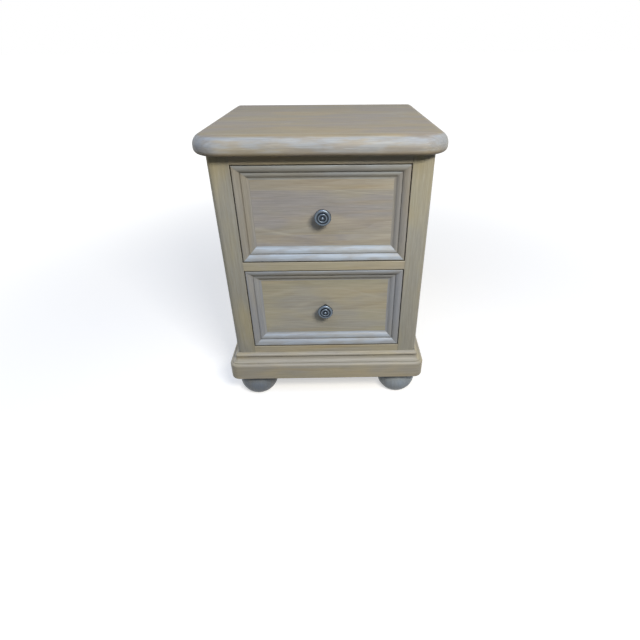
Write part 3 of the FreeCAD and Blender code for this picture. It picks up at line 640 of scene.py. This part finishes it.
def zinc_plated_steel(name):
    """Bright steel with clouds in its plating."""
    material, tree, output = new_material(name)
    place, _, _ = grain_place(tree, "XYZ")
    cloud = fibres(tree, place, ZINC_CLOUD_MM, ZINC_CLOUD_MM)
    colour = node(tree, "Mix", {
        FACTOR: cloud, UNDER: linear(DULL_ZINC), OVER: linear(BRIGHT_ZINC)}, **COLOURS)
    gloss = node(tree, "MapRange", {
        VALUE: cloud, FROM_LOW: ZINC_RISE[0], FROM_HIGH: ZINC_RISE[1],
        TO_LOW: ZINC_ROUGHNESS[0], TO_HIGH: ZINC_ROUGHNESS[1]})
    steel = node(tree, "BsdfPrincipled", {
        "Base Color": colour.outputs[MIXED], "Metallic": 1.0, "Roughness": gloss.outputs[0]})
    tree.links.new(steel.outputs[0], output.inputs[0])
    return material


screws = [drawer + "_knob_screw" for drawer in DRAWERS] + ["foot_screws", "top_screws", "back_screws"]
finish_pieces(zinc_plated_steel("zinc-plated steel"), screws)

# %% [markdown]
# ## Floor and sky
# The chest stands on a plain pale floor that runs off to white. A pale floor throws a lot of light up
# under the mouldings and fills the shadows that give them their shape, so light on its way between
# surfaces meets a dark floor and a dim sky, and only what the camera, a reflection or glass sees is white.
# Near the chest the floor takes its brightness from the lamps and keeps the shadow. Further out it glows
# by itself, and the glow grows with the distance from the chest.

# %% What is seen directly
def seen_directly(tree):
    """1 for what the camera, a reflection or glass sees, 0 for light on its way between surfaces."""
    ray = node(tree, "LightPath").outputs
    seen = node(tree, "Math", {0: ray["Is Camera Ray"], 1: ray["Is Glossy Ray"]}, operation="MAXIMUM")
    seen = node(tree, "Math", {0: seen.outputs[0], 1: ray["Is Transmission Ray"]}, operation="MAXIMUM")
    return seen.outputs[0]


SKY_LEVEL = 0.14
world = bpy.data.worlds.new("soft sky")
bpy.context.scene.world = world
world.use_nodes = True
sky = world.node_tree
sky.nodes.clear()
level = node(sky, "MapRange", {VALUE: seen_directly(sky), TO_LOW: SKY_LEVEL, TO_HIGH: 1.0})
background = node(sky, "Background", {"Color": linear("#FFFFFF"), "Strength": level.outputs[0]})
sky.links.new(background.outputs[0], node(sky, "OutputWorld").inputs[0])
print("the sky lights the chest at", SKY_LEVEL, "of the white that is seen")

# %% The floor
FLOOR_HALF_M = 40.0
FLOOR_GLOW = 0.56
GLOW_FROM_M, GLOW_TO_M = 0.5, 2.4
FLOOR_SHADED, FLOOR_SEEN = "#4A4845", "#D8D8D6"
PAINT_ROUGHNESS = 0.9


def floor_paint():
    """Matt paint that is dark to the light and pale to the eye."""
    material, tree, output = new_material("pale floor paint")
    seen = seen_directly(tree)
    away = node(tree, "VectorMath", {0: node(tree, "TexCoord").outputs["Object"]}, operation="LENGTH")
    glow = node(tree, "MapRange", {
        VALUE: away.outputs["Value"], FROM_LOW: GLOW_FROM_M, FROM_HIGH: GLOW_TO_M,
        TO_LOW: FLOOR_GLOW, TO_HIGH: 1.0}, **SMOOTH)
    glow = node(tree, "Math", {0: seen, 1: glow.outputs[0]}, operation="MULTIPLY")
    colour = node(tree, "Mix", {
        FACTOR: seen, UNDER: linear(FLOOR_SHADED), OVER: linear(FLOOR_SEEN)}, **COLOURS)
    paint = node(tree, "BsdfPrincipled", {
        "Base Color": colour.outputs[MIXED], "Roughness": PAINT_ROUGHNESS, "Specular IOR Level": 0.0,
        "Emission Color": linear("#FFFFFF"), "Emission Strength": glow.outputs[0]})
    tree.links.new(paint.outputs[0], output.inputs[0])
    return material


floor_mesh = bpy.data.meshes.new("pale_floor")
floor_corners = [(x * FLOOR_HALF_M, y * FLOOR_HALF_M, solid_box[0][2])
                 for x, y in ((-1, -1), (1, -1), (1, 1), (-1, 1))]
floor_mesh.from_pydata(floor_corners, [], [range(len(floor_corners))])
floor_mesh.materials.append(floor_paint())
floor = bpy.data.objects.new("pale_floor", floor_mesh)
bpy.context.scene.collection.objects.link(floor)
print("floor at", floor_mesh.vertices[0].co.z, "m, glowing from", GLOW_FROM_M, "m outwards")

# %% [markdown]
# ## Four softboxes
# Mouldings read when the light has a direction. A key lamp stands in front and a little to the right at
# about forty degrees, high enough for the top board to shade the rail under it and near enough for the
# light to fade towards the feet. A cool lamp hangs high in front, and it shines in every moulding that
# leans back to it. Two rear lamps stand behind the sides, about as high as the chest, so that the sides
# and the back can be looked at too. They don't reach the front and hardly touch the top. Light linking
# keeps them off the floor, where they would throw long shadows, and they are left out of reflections, so
# no bright rim shows from the front.

# %% Softboxes
def softbox(name, azimuth, elevation, distance, size, watts, colour):
    """A rectangular lamp that looks at the chest. Azimuth 0 is in front of it, 90 on its right."""
    turn, lift = math.radians(azimuth), math.radians(elevation)
    way = Vector((math.sin(turn) * math.cos(lift), -math.cos(turn) * math.cos(lift), math.sin(lift)))
    lamp = bpy.data.lights.new(name, "AREA")
    lamp.shape = "RECTANGLE"
    lamp.size, lamp.size_y = size
    lamp.energy = watts
    lamp.color = linear(colour)[:3]
    holder = bpy.data.objects.new(name, lamp)
    holder.location = Vector((0.0, 0.0, solid_box[1][2] / 2)) + way * distance
    holder.rotation_euler = (-way).to_track_quat("-Z", "Y").to_euler()
    bpy.context.scene.collection.objects.link(holder)
    return holder


softbox("key lamp", azimuth=22.0, elevation=37.5, distance=1.7, size=(0.5, 0.28),
        watts=22.3, colour="#FFF8EC")
softbox("cool lamp", azimuth=-6.0, elevation=62.0, distance=1.9, size=(1.8, 1.0),
        watts=20.0, colour="#BBD3FF")
off_floor = bpy.data.collections.new("kept off the floor")
off_floor.objects.link(floor)
off_floor.collection_objects[0].light_linking.link_state = "EXCLUDE"
for name, azimuth, watts in (("left rear lamp", -120.0, 19.0), ("right rear lamp", 120.0, 13.0)):
    rear_lamp = softbox(name, azimuth, elevation=3.0, distance=1.8, size=(0.8, 0.5),
                        watts=watts, colour="#FFFAF2")
    rear_lamp.light_linking.receiver_collection = off_floor
    rear_lamp.visible_glossy = False
print("lamps:", [lamp.name for lamp in bpy.data.lights])

# %% [markdown]
# ## The camera
# The photograph was taken from close by, looking down at the chest, so the posts lean together towards
# the floor. The lens, the place and the slight turn were found by laying the chest's known edges over the
# picture, and a small shift puts the picture's centre where it was.

# %% Camera
IMAGE_PX = 640
FOCAL_PX = 417.0
CENTRE_PX = (341.6, 300.7)
CAMERA_PLACE_M = (0.0247, -1.0066, 0.7909)
PITCH, YAW, ROLL = (math.radians(angle) for angle in (31.713, 0.922, -0.258))

camera_data = bpy.data.cameras.new("photo camera")
camera_data.lens = camera_data.sensor_width * FOCAL_PX / IMAGE_PX
camera_data.shift_x = 0.5 - CENTRE_PX[0] / IMAGE_PX
camera_data.shift_y = CENTRE_PX[1] / IMAGE_PX - 0.5
ahead = Vector((math.sin(YAW) * math.cos(PITCH), math.cos(YAW) * math.cos(PITCH), -math.sin(PITCH)))
sideways = Vector((math.cos(YAW), -math.sin(YAW), 0.0))
upright = sideways.cross(ahead)
right = sideways * math.cos(ROLL) + upright * math.sin(ROLL)
up = upright * math.cos(ROLL) - sideways * math.sin(ROLL)
turn = Matrix((right, up, -ahead)).transposed().to_4x4()
camera = bpy.data.objects.new("photo camera", camera_data)
camera.matrix_world = Matrix.Translation(CAMERA_PLACE_M) @ turn
bpy.context.scene.collection.objects.link(camera)
bpy.context.scene.camera = camera
print("lens", round(camera_data.lens, 2), "mm")

# %% [markdown]
# ## The end
# The finishes changed no shape and the slips lie inside the drawer frames, so the box of what is shown
# should be the box that we started with. The last line sets the plain view transform.

# %% Finish
bpy.context.scene.view_settings.view_transform = "Standard"
